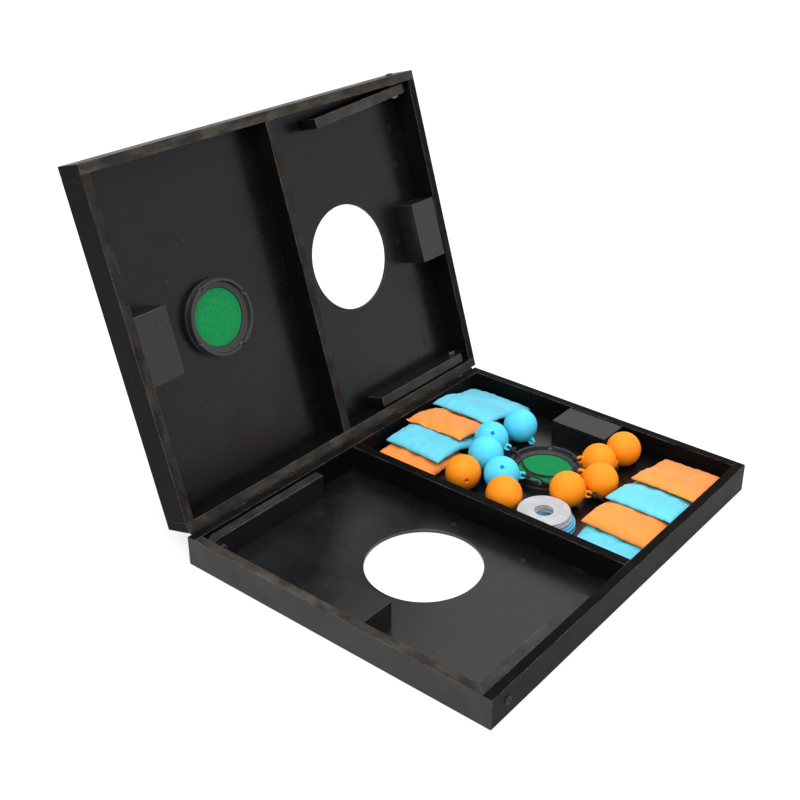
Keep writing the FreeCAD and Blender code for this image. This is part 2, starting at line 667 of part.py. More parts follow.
def stack(label, offsets, first_layer):
    """Flat game washers lying on each other, each a little off the one below."""
    pieces = []
    for layer, (x, y) in enumerate(offsets, first_layer):
        piece = ring(f"{label}_{layer}", "game_washer_radius", "game_washer_hole",
                     "game_washer_thickness")
        piece.Placement = at(x, y, FLOOR + layer * (dim("game_washer_thickness") + 0.02))
        pieces.append(piece)
    return group(label, pieces, Placement())


stack("blue_washers", [(48, -76.5), (46.8, -75), (48.4, -75.8), (47, -73.6)], 0)
stack("grey_washers", [(44.4, -71.4), (44.9, -72), (43.9, -70.6), (44.2, -70)], 4)


def bean_bag(label, x, y, z, lean, turn):
    """A pillow-shaped solid: two shallow pyramids, seam to seam. It leans about Y onto its neighbour."""
    halves = []
    for side in (1, -1):
        half = doc.addObject("Part::Wedge", f"{label}_half")
        bind(half, Xmin="bag_width * -0.5", Xmax="bag_width * 0.5",
             Zmin="bag_length * -0.5", Zmax="bag_length * 0.5", Ymax="bag_half_height",
             X2min="bag_width * -0.5 + bag_crown_inset", X2max="bag_width * 0.5 - bag_crown_inset",
             Z2min="bag_length * -0.5 + bag_crown_inset", Z2max="bag_length * 0.5 - bag_crown_inset")
        half.Ymin = 0
        half.Placement = Placement(Vector(), Rotation(Vector(1, 0, 0), 90 * side))
        halves.append(half)
    bag = doc.addObject("Part::Fuse", label)
    bag.Base, bag.Tool = halves
    pose = Rotation(Vector(0, 0, 1), turn).multiply(Rotation(Vector(0, 1, 0), lean))
    return node(bag, label, Placement(Vector(x, y, z), pose))


# Two shingled rows: the bag nearest the divider lies flat and each next one leans on it.
BAGS = {
    "hinge_bag_1": (58.6, 164, 12.4, 0, 0),
    "hinge_bag_2": (110.5, 165, 24, 16.5, 0),
    "hinge_bag_3": (163, 168, 23.6, 16.5, -1),
    "hinge_bag_4": (229, 169, 23.6, 16.5, 0),
    "front_bag_1": (58.6, -173, 12.4, 0, 0),
    "front_bag_2": (112, -172.5, 23.8, 16.5, -1),
    "front_bag_3": (165.5, -173, 23.6, 16.5, 0),
    "front_bag_4": (230.5, -172.5, 23.6, 16.5, 1),
}
for label, (x, y, z, lean, turn) in BAGS.items():
    bean_bag(label, x, y, z, lean, turn)


# ---- Check and write --------------------------------------------------------------------------------------

doc.recompute()
for thing in doc.Objects:
    if "Invalid" in thing.State or "Error" in thing.State:
        raise RuntimeError(f"{thing.Label}: {thing.State}")
os.makedirs("parts", exist_ok=True)
for thing in nodes:
    if thing.Shape.isNull() or not thing.Shape.isValid() or not thing.Shape.Solids:
        raise RuntimeError(f"{thing.Label}: no valid solid")
    thing.Shape.exportStep(f"parts/{thing.Label}.step")
print(len(nodes), "nodes written")
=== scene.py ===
import json
import math
import random

import bmesh
import bpy
import numpy as np
from mathutils import Matrix, Vector
from mathutils.bvhtree import BVHTree


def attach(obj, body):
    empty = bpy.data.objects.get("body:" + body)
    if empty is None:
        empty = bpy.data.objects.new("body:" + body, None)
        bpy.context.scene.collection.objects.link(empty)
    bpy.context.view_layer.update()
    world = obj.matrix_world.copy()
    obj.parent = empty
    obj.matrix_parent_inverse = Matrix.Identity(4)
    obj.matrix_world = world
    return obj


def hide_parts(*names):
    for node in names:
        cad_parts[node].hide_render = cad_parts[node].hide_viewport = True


# Looks for a folding two-tray game case: worn black boards, moulded washer cups with felt, bean bags, soft
# balls on cords and a stack of washers. Metres, in the CAD's own frame.

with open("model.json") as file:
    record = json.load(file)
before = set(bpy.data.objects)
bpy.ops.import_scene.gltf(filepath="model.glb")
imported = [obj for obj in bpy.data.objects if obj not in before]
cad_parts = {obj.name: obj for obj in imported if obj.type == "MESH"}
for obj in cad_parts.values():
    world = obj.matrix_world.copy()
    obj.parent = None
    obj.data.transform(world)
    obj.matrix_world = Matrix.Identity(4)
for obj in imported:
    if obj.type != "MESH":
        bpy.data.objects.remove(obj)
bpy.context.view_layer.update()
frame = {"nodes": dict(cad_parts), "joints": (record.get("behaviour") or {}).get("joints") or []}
NODES = frame["nodes"]
MM = 0.001


# ---- Tray frames ---------------------------------------------------------------------------------------

PANEL_TOP = 5 * MM
LID_SIDE_SHIFT = 4.5 * MM
lid_joint = next(j for j in frame["joints"] if j["name"] == "lid_hinge")
pin = Vector(lid_joint["pos_m"])
shut = Matrix.Translation((LID_SIDE_SHIFT, 0, 2 * pin.z)) @ Matrix.Rotation(math.pi, 4, "Y")
opening = (Matrix.Translation(pin) @ Matrix.Rotation(math.radians(lid_joint["range_deg"][0]), 4, "X")
           @ Matrix.Translation(-pin))
TRAYS = {"base": Matrix.Identity(4), "lid": opening @ shut}


def points_of(node, place):
    """A CAD node's vertices in the frame that place stands for."""
    inverse = place.inverted()
    return np.array([inverse @ v.co for v in NODES[node].data.vertices])


def turned_frame(origin, along, across):
    """A frame with X exactly along and Y as near across as that leaves."""
    x = Vector(along).normalized()
    y = Vector(across)
    y = (y - x * y.dot(x)).normalized()
    z = x.cross(y)
    turn = Matrix((x, y, z)).transposed().to_4x4()
    return Matrix.Translation(origin) @ turn


# ---- Materials -----------------------------------------------------------------------------------------


class Shader:
    """A procedural material; each method adds a node and returns its output."""

    def __init__(self, name, place=None):
        self.material = bpy.data.materials.new(name)
        self.material.use_nodes = True
        self.tree = self.material.node_tree
        self.surface = self.tree.nodes["Principled BSDF"]
        coordinates = self.tree.nodes.new("ShaderNodeTexCoord")
        self.point, self.normal = coordinates.outputs["Object"], coordinates.outputs["Normal"]
        if place is not None:
            shift, turn, _ = place.inverted().decompose()
            turn = turn.to_euler()
            self.point = self.node("Mapping", {"Vector": self.point, "Location": shift, "Rotation": turn})
            self.normal = self.node("Mapping", {"Vector": self.normal, "Rotation": turn},
                                    vector_type="VECTOR")

    def node(self, kind, inputs, output=0, **settings):
        made = self.tree.nodes.new("ShaderNode" + kind)
        for key, value in settings.items():
            setattr(made, key, value)
        for key, value in inputs.items():
            socket = made.inputs[key]
            if isinstance(value, bpy.types.NodeSocket):
                self.tree.links.new(value, socket)
            else:
                socket.default_value = value
        return made.outputs[output]

    def maths(self, operation, a, b=0.0):
        return self.node("Math", {0: a, 1: b}, operation=operation)

    def vector(self, operation, a, b=(0, 0, 0)):
        return self.node("VectorMath", {0: a, 1: b}, operation=operation)

    def split(self, vector):
        made = self.tree.nodes.new("ShaderNodeSeparateXYZ")
        self.tree.links.new(vector, made.inputs[0])
        return made.outputs

    def step(self, value, low, high):
        """0 below low, 1 above high and smooth between; low may be the larger one."""
        return self.node("MapRange", {0: value, 1: low, 2: high}, interpolation_type="SMOOTHSTEP")

    def noise(self, scale, detail=3.0, roughness=0.5, stretch=(1, 1, 1), offset=(0, 0, 0)):
        at = self.node("Mapping", {"Vector": self.point, "Scale": stretch, "Location": offset})
        return self.node("TexNoise", {"Vector": at, "Scale": scale, "Detail": detail,
                                      "Roughness": roughness})

    def mix(self, share, first, second):
        def colour(c):
            return (*c, 1) if isinstance(c, tuple) and len(c) == 3 else c
        return self.node("Mix", {0: share, 6: colour(first), 7: colour(second)}, output=2,
                         data_type="RGBA")

    def specks(self, scale, size, share):
        """Small round specks: size is a part of the cell, share the part of cells that have one."""
        made = self.tree.nodes.new("ShaderNodeTexVoronoi")
        made.inputs["Scale"].default_value = scale
        self.tree.links.new(self.point, made.inputs["Vector"])
        chosen = self.maths("LESS_THAN", self.split(made.outputs["Color"])[0], share)
        near = self.step(made.outputs["Distance"], size, size * 0.5)
        return self.maths("MULTIPLY", chosen, near)

    def bump(self, height, strength, distance, onto=None):
        inputs = {"Height": height, "Strength": strength, "Distance": distance}
        if onto is not None:
            inputs["Normal"] = onto
        return self.node("Bump", inputs)

    def finish(self, **sockets):
        for name, value in sockets.items():
            socket = self.surface.inputs[name.replace("_", " ")]
            if isinstance(value, bpy.types.NodeSocket):
                self.tree.links.new(value, socket)
            else:
                socket.default_value = (*value, 1) if socket.type == "RGBA" else value
        return self.material


def dress(obj, material):
    """Put a material on every slot of an object."""
    if not obj.data.materials:
        obj.data.materials.append(material)
    for slot in obj.material_slots:
        slot.link = "OBJECT"
        slot.material = material


def edge_distance(shader, centre, half):
    """How far a point on a box's surface is from the nearest edge, in metres."""
    away = shader.vector("ABSOLUTE", shader.vector("SUBTRACT", shader.point, centre))
    a, b, c = shader.split(shader.vector("SUBTRACT", half, away))
    low, high = shader.maths("MINIMUM", a, b), shader.maths("MAXIMUM", a, b)
    return shader.maths("MAXIMUM", low, shader.maths("MINIMUM", high, c))


def board_material(name, place, low, high, paint, gloss, specular, wear, rim=None, smudge=0.0, painted_reflection_x=None):
    """Black painted wood for a box-shaped board: rubbed edges, grain, dust, and a stained bare rim.

    place is the frame that low and high, the board's corners, are in. wear is the widest rubbed edge, in
    millimetres. rim is the darkest and the lightest stain on the rim, smudge the strength of dark marks on
    the paint, and the last argument the X below which the paint is lightened to grey as painted reflection
    on the board's low-X end.
    """
    shader = Shader(name, place)
    centre, half = (low + high) / 2, (high - low) / 2
    along = int(np.argmax(half))
    stretch = [1.0, 1.0, 1.0]
    stretch[along] = 0.04
    grain = shader.noise(260, 4, 0.6, stretch, offset=(0.37, 0.11, 0.73))
    patches = shader.noise(22, 3, 0.55)
    broad = shader.noise(7, 2, 0.5, offset=(3.1, 1.7, 0.4))
    colour = shader.mix(shader.step(grain, 0.35, 0.75), paint, tuple(c * 1.45 for c in paint))
    colour = shader.mix(shader.maths("MULTIPLY", shader.step(broad, 0.4, 0.7), 0.5), colour,
                        tuple(c * 1.7 for c in paint))
    roughness = shader.node("MapRange", {0: patches, 1: 0.3, 2: 0.7, 3: gloss - 0.05, 4: gloss + 0.07})
    # Painted reflection: below that X the paint is lightened to two greys, standing in for the white floor
    # that the end face reflects.
    if painted_reflection_x is not None:
        painted_reflection_face = shader.step(shader.split(shader.point)[0], painted_reflection_x, painted_reflection_x - 0.5 * MM)
        colour = shader.mix(painted_reflection_face, colour, shader.mix(patches, *PAINTED_REFLECTION_GREYS))

    edge = edge_distance(shader, centre, half)
    worn_width = shader.node("MapRange", {0: patches, 1: 0.35, 2: 0.75, 3: 0.3 * MM, 4: wear * MM})
    rubbed = shader.step(shader.maths("DIVIDE", edge, worn_width), 1.0, 0.25)
    flecks = shader.step(shader.noise(420, 3, 0.7), 0.42, 0.6)
    rubbed = shader.maths("MULTIPLY", rubbed, shader.maths("ADD", flecks, 0.25))
    if rim:
        up = shader.step(shader.split(shader.normal)[2], 0.6, 0.8)
        segment = shader.tree.nodes.new("ShaderNodeTexVoronoi")
        segment.voronoi_dimensions = "1D"
        segment.inputs["Scale"].default_value = 7.5
        shader.tree.links.new(shader.split(shader.point)[along], segment.inputs["W"])
        tone = shader.split(segment.outputs["Color"])[0]
        blotch = shader.noise(45, 4, 0.65, [0.5 if s < 1 else s for s in stretch])
        stain = shader.maths("MULTIPLY", shader.step(blotch, 0.3, 0.72),
                             shader.node("MapRange", {0: tone, 3: 0.45, 4: 1.0}))
        bare = shader.mix(stain, rim[0], rim[1])
        bare = shader.mix(shader.maths("MULTIPLY", shader.step(grain, 0.5, 0.8), 0.5), bare,
                          tuple(c * 0.5 for c in rim[0]))
        colour = shader.mix(up, colour, bare)
        roughness = shader.node("Mix", {0: up, 2: roughness, 3: 0.5})
    colour = shader.mix(shader.maths("MULTIPLY", rubbed, 0.6), colour, BARE_WOOD)
    if smudge:
        scuff = shader.step(shader.noise(38, 5, 0.7, (1, 0.35, 1), offset=(1.3, 5.1, 2.0)), 0.6, 0.72)
        lone = shader.specks(26, 0.16, 0.3)
        mark = shader.maths("MULTIPLY", shader.maths("MAXIMUM", shader.maths("MULTIPLY", scuff, 0.5), lone),
                            smudge)
        colour = shader.mix(mark, colour, (0.004, 0.004, 0.004))
        roughness = shader.maths("ADD", roughness, shader.maths("MULTIPLY", mark, 0.3))
    dust = shader.maths("MAXIMUM", shader.specks(95, 0.045, 0.2), shader.specks(230, 0.06, 0.05))
    colour = shader.mix(shader.maths("MULTIPLY", dust, 0.8), colour, DUST)
    shape = shader.bump(grain, 0.12, 0.4 * MM)
    shape = shader.bump(rubbed, 0.35, -0.3 * MM, shape)
    shape = shader.bump(shader.noise(900, 2), 0.06, 0.15 * MM, shape)
    return shader.finish(Base_Color=colour, Normal=shape, Specular_IOR_Level=specular,
                         Roughness=shader.maths("ADD", roughness, shader.maths("MULTIPLY", rubbed, 0.2)))


BLACK = (0.0035, 0.0035, 0.0037)
CHARCOAL = (0.006, 0.006, 0.0065)
# The two greys of the painted reflection on the low-X ends of some base walls.
PAINTED_REFLECTION_GREYS = ((0.030, 0.030, 0.030), (0.060, 0.060, 0.059))
BARE_WOOD, DUST = (0.12, 0.11, 0.10), (0.42, 0.41, 0.39)
RIM = ((0.010, 0.0085, 0.0075), (0.042, 0.036, 0.031))
BOARDS = {  # name ending: paint, roughness, specular level, wear in mm, rim colours, smudges
    "_wall": (BLACK, 0.32, 0.03, 1.5, RIM, 0.0),
    "_divider": (BLACK, 0.32, 0.03, 1.5, RIM, 0.0),
    "base_panel": (BLACK, 0.27, 0.65, 0.4, None, 0.8),
    "lid_panel": (BLACK, 0.27, 0.3, 0.4, None, 0.8),
    "_block": (CHARCOAL, 0.28, 0.5, 1.1, None, 0.0),
}
RIM_TONES = {  # how dark or light the stain on each board's rim has worn
    "base_front_wall": 0.25, "base_hinge_wall": 0.5, "base_hole_end_wall": 2.4, "base_cup_end_wall": 0.25,
    "base_divider": 0.2, "lid_front_wall": 2.2, "lid_hinge_wall": 2.3, "lid_hole_end_wall": 0.45,
    "lid_cup_end_wall": 1.3, "lid_divider": 1.25,
}
# Base walls whose low-X end gets the painted reflection, and how far in from that end it reaches.
PAINTED_REFLECTION_BOARDS = ("base_front_wall", "base_hinge_wall", "base_hole_end_wall")
PAINTED_REFLECTION_DEPTH = 1 * MM
for tray, place in TRAYS.items():
    for node in NODES:
        for ending, (paint, gloss, specular, wear, rim, smudge) in BOARDS.items():
            if node.startswith(tray) and node.endswith(ending):
                if rim:
                    rim = [tuple(c * RIM_TONES[node] for c in tone) for tone in rim]
                points = points_of(node, place)
                low, high = Vector(points.min(0)), Vector(points.max(0))
                painted_reflection_x = low.x + PAINTED_REFLECTION_DEPTH if node in PAINTED_REFLECTION_BOARDS else None
                dress(NODES[node], board_material(f"{node}_paint", place, low, high, paint, gloss, specular,
                                                  wear, rim, smudge, painted_reflection_x))

for joint in frame["joints"]:
    if joint["child"].endswith("_leg"):
        leg = NODES[joint["child"]]
        pivot, axis = Vector(joint["pos_m"]), Vector(joint["axis"])
        middle = sum((v.co for v in leg.data.vertices), Vector()) / len(leg.data.vertices)
        place = turned_frame(pivot, (middle - pivot) - axis * (middle - pivot).dot(axis), -axis)
        points = points_of(leg.name, place)
        dress(leg, board_material(f"{leg.name}_paint", place, Vector(points.min(0)), Vector(points.max(0)),
                                  BLACK, 0.42, 0.3, 2.0, RIM))


def plain_metal(name, colour, roughness, metallic=1.0):
    shader = Shader(name)
    scratches = shader.noise(900, 3, 0.6, (0.08, 1, 1))
    stains = shader.noise(160, 3)
    return shader.finish(
        Base_Color=shader.mix(shader.step(stains, 0.4, 0.7), colour, tuple(c * 0.6 for c in colour)),
        Roughness=shader.node("MapRange", {0: stains, 3: roughness - 0.08, 4: roughness + 0.12}),
        Normal=shader.bump(scratches, 0.15, 0.05 * MM), Metallic=metallic, Specular_IOR_Level=0.25)


STEEL = plain_metal("zinc_plated_steel", (0.3, 0.3, 0.31), 0.38)
DARK_STEEL = plain_metal("blackened_steel", (0.006, 0.006, 0.0065), 0.45, metallic=0.0)
for node, obj in NODES.items():
    if node.endswith(("_spacers", "_nuts")):
        dress(obj, STEEL)
    elif node.endswith(("_bolts", "_leaf", "_screws", "_pin")):
        dress(obj, DARK_STEEL)


def moulded_plastic(name, colour, roughness, grain=700):
    shader = Shader(name)
    patches = shader.noise(60, 3)
    tint = shader.mix(shader.step(patches, 0.35, 0.7), colour, tuple(c * 1.2 for c in colour))
    dust = shader.specks(160, 0.07, 0.12)
    return shader.finish(
        Base_Color=shader.mix(shader.maths("MULTIPLY", dust, 0.5), tint, (0.5, 0.5, 0.5)),
        Roughness=shader.node("MapRange", {0: patches, 1: 0.3, 2: 0.7, 3: roughness - 0.06,
                                           4: roughness + 0.08}),
        Normal=shader.bump(shader.noise(grain, 2), 0.1, 0.1 * MM))


def rubber(name, colour):
    """Soft matt rubber with a fine tooth, a parting line round local Y = 0 and a few dirt marks."""
    shader = Shader(name)
    patches = shader.noise(35, 3)
    tint = shader.mix(shader.step(patches, 0.3, 0.75), colour, tuple(min(1, c * 1.08) for c in colour))
    dirt = shader.maths("MAXIMUM", shader.specks(120, 0.08, 0.05),
                        shader.maths("MULTIPLY", shader.step(shader.noise(70, 5, 0.7), 0.66, 0.74), 0.35))
    tint = shader.mix(shader.maths("MULTIPLY", dirt, 0.6), tint, tuple(c * 0.35 for c in colour))
    parting = shader.step(shader.maths("ABSOLUTE", shader.split(shader.point)[1]), 0.35 * MM, 0.1 * MM)
    shape = shader.bump(parting, 0.5, 0.12 * MM)
    shape = shader.bump(shader.noise(1500, 2), 0.12, 0.08 * MM, shape)
    return shader.finish(
        Base_Color=tint, Roughness=shader.node("MapRange", {0: patches, 3: 0.48, 4: 0.64}), Normal=shape,
        Specular_IOR_Level=0.25, Subsurface_Weight=0.08, Subsurface_Scale=3 * MM,
        Subsurface_Radius=(1.0, 0.6, 0.4))


def cotton(name, colour):
    """Plain-weave cotton over small beans: threads both ways, soft lumps and faint creases, with painted
    shade in the crease hollows and painted light on the crests.
    """
    shader = Shader(name)
    threads = []
    for axis in ("X", "Y"):
        threads.append(shader.node("TexWave", {
            "Vector": shader.point, "Scale": 260.0, "Distortion": 1.2, "Detail": 2.0, "Detail Scale": 3.0},
            output=1, bands_direction=axis))
    weave = shader.maths("MAXIMUM", *threads)
    lumps = shader.noise(170, 2, 0.5)
    creases = shader.noise(26, 3, 0.55, (1, 0.6, 1), offset=(0.2, 0.9, 0.1))
    # Painted shade and light: the colour follows the crease bump, darker in its hollows and lighter on its
    # crests.
    tint = shader.mix(shader.step(creases, 0.3, 0.75), tuple(c * 0.9 for c in colour),
                      tuple(min(1, c * 1.05) for c in colour))
    tint = shader.mix(shader.maths("MULTIPLY", weave, 0.15), tint, tuple(c * 0.6 for c in colour))
    shape = shader.bump(creases, 0.6, 3.5 * MM)
    shape = shader.bump(lumps, 0.25, 0.8 * MM, shape)
    shape = shader.bump(weave, 0.3, 0.12 * MM, shape)
    return shader.finish(Base_Color=tint, Roughness=0.82, Normal=shape, Sheen_Weight=0.25,
                         Sheen_Roughness=0.4)


def felt_cloth(name, colour):
    shader = Shader(name)
    fibres = shader.noise(1400, 5, 0.75)
    tufts = shader.noise(330, 4, 0.7, offset=(0.4, 0.2, 0.7))
    tint = shader.mix(shader.step(fibres, 0.35, 0.68), tuple(c * 0.55 for c in colour),
                      tuple(min(1, c * 1.5) for c in colour))
    tint = shader.mix(shader.maths("MULTIPLY", shader.step(tufts, 0.45, 0.7), 0.35), tint,
                      tuple(min(1, c * 1.6 + 0.02) for c in colour))
    lint = shader.specks(210, 0.07, 0.06)
    tint = shader.mix(lint, tint, (0.75, 0.85, 0.75))
    shape = shader.bump(tufts, 0.6, 0.6 * MM)
    shape = shader.bump(fibres, 0.5, 0.25 * MM, shape)
    return shader.finish(Base_Color=tint, Roughness=0.95, Normal=shape, Sheen_Weight=0.05,
                         Specular_IOR_Level=0.15)


def braid(name, colour):
    """Braided cord: small crossing strands."""
    shader = Shader(name)
    strands = shader.noise(1100, 3, 0.6)
    tint = shader.mix(shader.step(strands, 0.4, 0.65), tuple(c * 0.6 for c in colour),
                      tuple(c * 1.8 for c in colour))
    return shader.finish(Base_Color=tint, Roughness=0.7, Normal=shader.bump(strands, 0.8, 0.4 * MM))


CUP_BLACK = moulded_plastic("cup_plastic", (0.018, 0.018, 0.019), 0.4)
RUBBERS = {"blue": rubber("blue_rubber", (0.09, 0.64, 0.92)),
           "orange": rubber("orange_rubber", (1.0, 0.275, 0.006))}
COTTONS = {"blue": cotton("blue_cotton", (0.125, 0.62, 0.78)),
           "orange": cotton("orange_cotton", (1.0, 0.295, 0.047))}
FELT_GREEN = felt_cloth("green_felt", (0.004, 0.215, 0.06))
CORD_BLACK = braid("black_braid", (0.012, 0.012, 0.013))
WASHER_PLASTICS = {"blue": moulded_plastic("blue_plastic", (0.10, 0.38, 0.60), 0.42),
                   "grey": moulded_plastic("grey_plastic", (0.40, 0.415, 0.435), 0.42)}


# ---- Mesh helpers --------------------------------------------------------------------------------------


def add_mesh(name, build, material, place=None):
    """A mesh object from a function that fills a bmesh, smooth shaded."""
    shape = bmesh.new()
    build(shape)
    bmesh.ops.recalc_face_normals(shape, faces=shape.faces)
    for face in shape.faces:
        face.smooth = True
    mesh = bpy.data.meshes.new(name)
    shape.to_mesh(mesh)
    shape.free()
    obj = bpy.data.objects.new(name, mesh)
    bpy.context.scene.collection.objects.link(obj)
    if place is not None:
        obj.matrix_world = place
    if material is not None:
        obj.data.materials.append(material)
    return obj


def apply_modifiers(obj):
    """Bake the object's modifiers into its mesh."""
    graph = bpy.context.evaluated_depsgraph_get()
    mesh = bpy.data.meshes.new_from_object(obj.evaluated_get(graph), depsgraph=graph)
    obj.modifiers.clear()
    obj.data = mesh
    return obj


def modify(obj, kind, **settings):
    modifier = obj.modifiers.new(kind.title(), kind)
    for key, value in settings.items():
        setattr(modifier, key, value)
    return modifier


def cut(obj, tools):
    """Subtract each tool from an object and remove the tools."""
    for tool in tools:
        modify(obj, "BOOLEAN", operation="DIFFERENCE", object=tool, solver="EXACT")
    apply_modifiers(obj)
    for tool in tools:
        bpy.data.objects.remove(tool)
    return obj


def rounded(profile, radius, steps=3, closed=False):
    """A profile with its corners rounded; each corner is cut back by no more than a third of its sides."""
    result, count = [], len(profile)
    for i, here in enumerate(profile):
        if not closed and i in (0, count - 1):
            result.append(here)
            continue
        point = Vector(here)
        back, ahead = Vector(profile[i - 1]) - point, Vector(profile[(i + 1) % count]) - point
        reach = min(radius, back.length / 3, ahead.length / 3)
        start, end = point + back.normalized() * reach, point + ahead.normalized() * reach
        for s in range(steps + 1):
            t = s / steps
            result.append(tuple(start * (1 - t) ** 2 + point * 2 * t * (1 - t) + end * t ** 2))
    return result


def lathe(profile, segments, closed=False):
    """A builder that spins a profile of radius and height about Z."""
    def build(shape):
        rings = []
        for radius, height in profile:
            if radius < 1e-6:
                rings.append([shape.verts.new((0, 0, height))])
                continue
            turn = 2 * math.pi / segments
            rings.append([shape.verts.new((radius * math.cos(turn * s), radius * math.sin(turn * s), height))
                          for s in range(segments)])
        pairs = list(zip(rings, rings[1:] + rings[:1])) if closed else list(zip(rings, rings[1:]))
        for lower, upper in pairs:
            for s in range(segments):
                n = (s + 1) % segments
                if len(lower) == 1:
                    shape.faces.new((lower[0], upper[s], upper[n]))
                elif len(upper) == 1:
                    shape.faces.new((lower[s], lower[n], upper[0]))
                else:
                    shape.faces.new((lower[s], lower[n], upper[n], upper[s]))
    return build


def block(size, centre=(0, 0, 0)):
    """A builder for a box, used as a cutter."""
    def build(shape):
        bmesh.ops.create_cube(shape, size=1, matrix=Matrix.Translation(centre) @ Matrix.Diagonal((*size, 1)))
    return build


def settle(piece, body, slot, *nodes):
    """Ride on a body and stand for CAD nodes; slot is not used."""
    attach(piece, body)
    if nodes:
        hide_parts(*nodes)
    return piece


# ---- Cords ---------------------------------------------------------------------------------------------

# Each ball: centre, direction of the cord tab, the way the tab's flat face looks, and its moulding hole.
BALL_RADIUS, TAB_REACH, RESTING = 25.0, 9.0, 30.0
BALLS = {
    "blue_ball_1": ((208, 82, RESTING), (-0.05, -0.76, -0.62), (1, 0.2, 0), (0.3, 0.9, 0.2)),
    "blue_ball_2": ((150, 93, RESTING), (0.1, -0.97, -0.2), (-0.6, -0.2, 0.8), (-0.5, -0.43, 0.75)),
    "blue_ball_3": ((105, 70, RESTING + 4.5), (0.5, 0.4, -0.75), (1, 0, 0), (0.3, 0.8, 0.45)),
    "blue_ball_4": ((81, 25, RESTING), (0.66, -0.73, -0.1), (-0.7, -0.5, 0.5), (-0.47, -0.34, 0.82)),
    "orange_ball_1": ((51, 69, RESTING), (0.66, 0.6, -0.4), (0, 0, 1), (-0.66, -0.75, 0.06)),
    "orange_ball_2": ((41.5, -7, RESTING), (-0.4, 0.65, -0.6), (1, 0, 0), (0.5, -0.6, -0.5)),
    "orange_ball_3": ((246, -72, RESTING), (-0.88, -0.17, -0.42), (0, 1, 0), (0.8, 0.5, 0.1)),
    "orange_ball_4": ((195.5, -61.5, RESTING), (-0.75, 0.62, 0.2), (-0.7, -0.6, 0.3), (0.7, 0.5, -0.4)),
    "orange_ball_5": ((153, -90, RESTING), (-0.33, 0.9, 0.27), (0.8, 0.4, 0), (0.4, -0.8, -0.4)),
    "orange_ball_6": ((106, -67, RESTING), (0.45, -0.88, -0.15), (-0.7, -0.4, 0.6), (-0.2, 0.8, -0.5)),
}


def tab_end(label):
    """The end of a ball's cord tab and the way it points, in millimetres."""
    centre, towards = BALLS[label][:2]
    way = Vector(towards).normalized()
    return Vector(centre) + way * (BALL_RADIUS + TAB_REACH), way


CORD_DIAMETER, CORD_GAP, CORD_LEAD = 3.2 * MM, 0.1, 9.0
CORDS = {
    "blue_ball_cord": ("blue_ball_2", "blue_ball_4", 0.1745, [
        (150.5, 41.5, 18), (143.5, 32.5, 13.8), (137, 21.5, 12), (134, 10, 11.8), (135.5, -2, 11.9),
        (138.5, -13.5, 13), (139, -25, 17), (137.5, -35, 21.5), (130.5, -43.5, 22.8),
        (120, -44.5, 22.8), (112.5, -37, 21.8), (112, -26, 20.8), (114.5, -16, 22.3)]),
    "orange_ball_cord": ("orange_ball_6", "orange_ball_3", 0.1159, [
        (130.2, -109.2, 16.6), (136, -109.8, 10.4), (144.5, -109, 7.2), (155, -108.2, 6.8),
        (166, -105.6, 6.8), (176.5, -99.8, 6.9), (186.3, -92.6, 6.8), (196.4, -86, 7.4)]),
}


def cord_route(first_ball, last_ball, middle):
    start, start_way = tab_end(first_ball)
    end, end_way = tab_end(last_ball)
    route = [start + start_way * CORD_GAP, start + start_way * CORD_LEAD, *map(Vector, middle),
             end + end_way * CORD_LEAD, end + end_way * CORD_GAP]
    return [point * MM for point in route]


for label, (first_ball, last_ball, length, middle) in CORDS.items():
    route = cord_route(first_ball, last_ball, middle)
    curve = bpy.data.curves.new(label, "CURVE")
    curve.dimensions = "3D"
    spline = curve.splines.new("NURBS")
    spline.points.add(len(route) - 1)
    for control, point in zip(spline.points, route):
        control.co = (*point, 1)
    spline.order_u = 3
    spline.use_endpoint_u = True
    spline.resolution_u = 8
    curve.bevel_depth = CORD_DIAMETER / 2
    curve.bevel_resolution = 4
    curve.use_fill_caps = True
    curve.materials.append(CORD_BLACK)
    cord = bpy.data.objects.new(label + "_braid", curve)
    bpy.context.scene.collection.objects.link(cord)
    settle(cord, "base", "cord_black", label)


# ---- Balls ---------------------------------------------------------------------------------------------

TAB_HALF_WIDTH, TAB_THICKNESS, TAB_HOLE = 5.2 * MM, 4 * MM, 2.3 * MM
VENT_RADIUS, VENT_DEPTH = 3 * MM, 9 * MM
BALL_VOXEL = 0.6 * MM


def build_ball(shape):
    bmesh.ops.create_icosphere(shape, subdivisions=5, radius=BALL_RADIUS * MM)


def build_tab(shape):
    """A flat eye on local +X, as a closed plate of a straight neck and a round end."""
    eye = (BALL_RADIUS + TAB_REACH) * MM - TAB_HALF_WIDTH
    outline = [(eye - TAB_REACH * MM, -TAB_HALF_WIDTH)]
    outline += [(eye + TAB_HALF_WIDTH * math.cos(a), TAB_HALF_WIDTH * math.sin(a))
                for a in np.linspace(-math.pi / 2, math.pi / 2, 17)]
    outline.append((eye - TAB_REACH * MM, TAB_HALF_WIDTH))
    faces = [shape.faces.new([shape.verts.new((x, side * TAB_THICKNESS / 2, z)) for x, z in outline])
             for side in (-1, 1)]
    bmesh.ops.bridge_loops(shape, edges=[e for f in faces for e in f.edges])


def cutter(name, radius, length, middle, axis):
    """A round tool centred on a point, along a direction."""
    turn = Vector(axis).to_track_quat("Z", "Y").to_matrix().to_4x4()
    def build(shape):
        bmesh.ops.create_cone(shape, cap_ends=True, segments=32, radius1=radius, radius2=radius,
                              depth=length, matrix=Matrix.Translation(middle) @ turn)
    return add_mesh(name, build, None)


